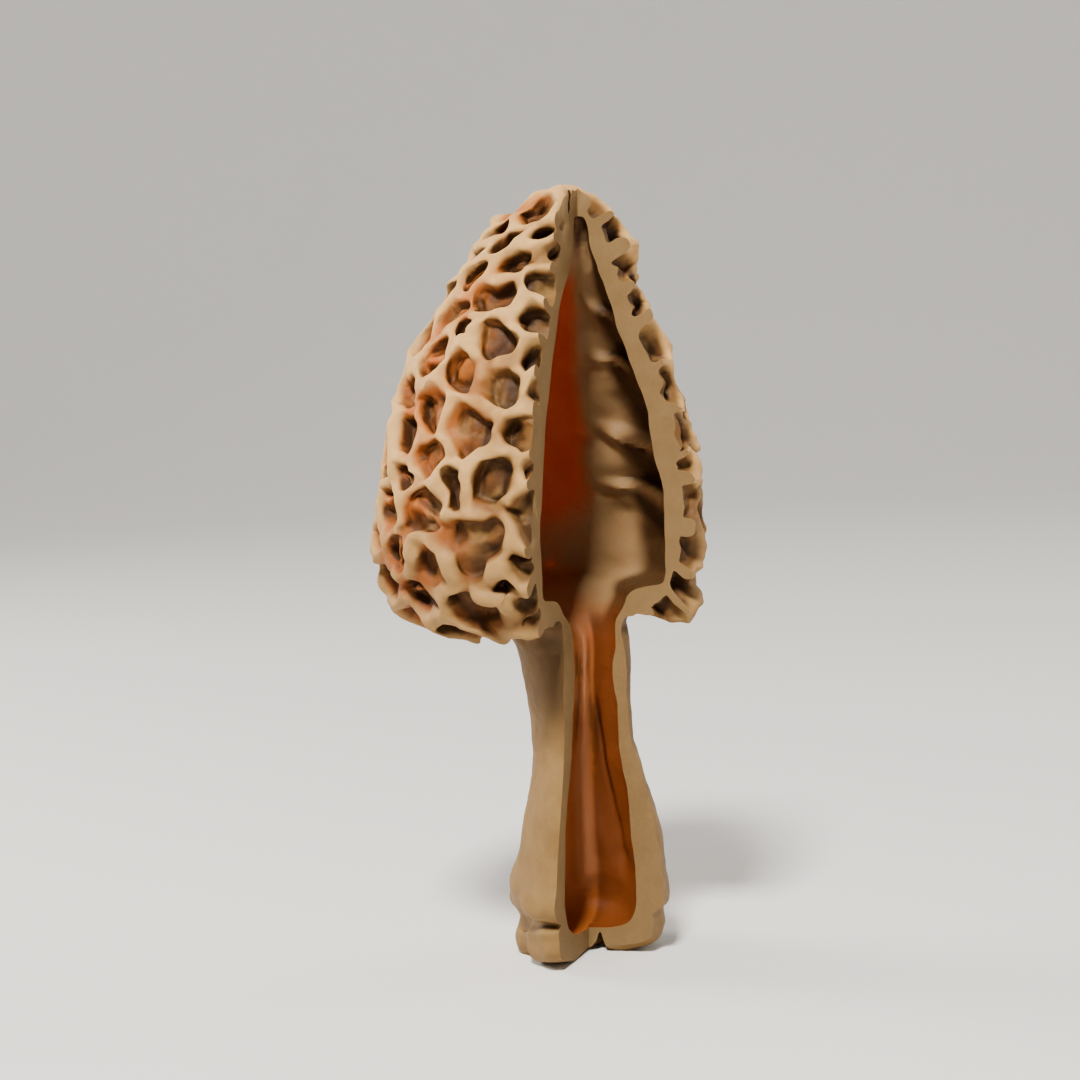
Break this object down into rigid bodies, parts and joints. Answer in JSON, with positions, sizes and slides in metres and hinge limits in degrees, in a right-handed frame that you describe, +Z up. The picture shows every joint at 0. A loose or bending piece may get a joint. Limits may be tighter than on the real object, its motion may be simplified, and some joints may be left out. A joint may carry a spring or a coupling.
{
  "type": "morel mushroom",
  "caption": "Morel mushroom with a honeycomb cap and a smooth stem, standing on its base, with a quarter cut away from top to bottom to show the hollow inside.",
  "frame": {"origin": "on the surface that the mushroom stands on, under the middle of its bounding box", "axes": "+Z up along the mushroom; the missing quarter is on the +X, -Y side, with one cut face looking along +X and the other along -Y, both within 1.5 degrees"},
  "size_m": [0.0539, 0.0514, 0.1236],
  "materials": {
    "flesh": "matte, cream ridges, orange-brown in the pits and the hollow"
  },
  "bodies": {
    "root": {"morel": "flesh"}
  },
  "joints": []
}
